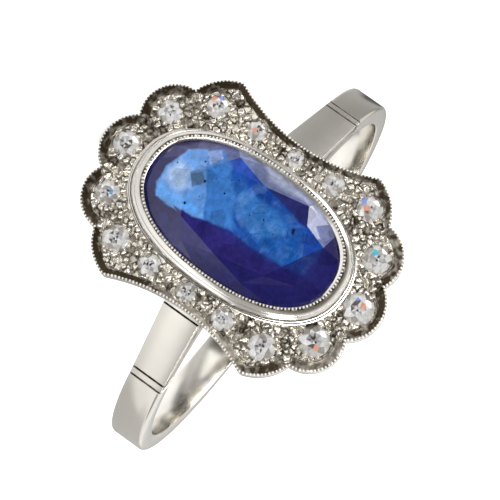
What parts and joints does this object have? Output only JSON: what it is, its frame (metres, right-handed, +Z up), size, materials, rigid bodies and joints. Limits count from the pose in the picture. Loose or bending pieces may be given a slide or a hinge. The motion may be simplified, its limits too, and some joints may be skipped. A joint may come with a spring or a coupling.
{
  "type": "sapphire and diamond ring",
  "caption": "White metal dress ring with an oval sapphire in a milled collet, a scalloped and waisted border of old-cut diamonds, and a plain band with flat shoulders.",
  "frame": {"origin": "on the surface that the ring rests on, under the middle of its outline", "axes": "+Z up from that surface; +Y from the stone-set head back along the band; +X across the head's short way. The ring lies on its side, so the finger axis leans 17.9 degrees from +Z towards +Y"},
  "size_m": [0.0188, 0.0214, 0.0136],
  "materials": {
    "white_metal": "polished white precious metal, satin on the shoulders",
    "sapphire": "faceted blue gemstone",
    "diamond": "faceted colourless gemstone"
  },
  "bodies": {
    "root": {"mount": "white_metal", "sapphire": "sapphire", "diamond_01": "diamond", "diamond_02": "diamond", "diamond_03": "diamond", "diamond_04": "diamond", "diamond_05": "diamond", "diamond_06": "diamond", "diamond_07": "diamond", "diamond_08": "diamond", "diamond_09": "diamond", "diamond_10": "diamond", "diamond_11": "diamond", "diamond_12": "diamond", "diamond_13": "diamond", "diamond_14": "diamond", "diamond_15": "diamond", "diamond_16": "diamond"}
  },
  "joints": []
}
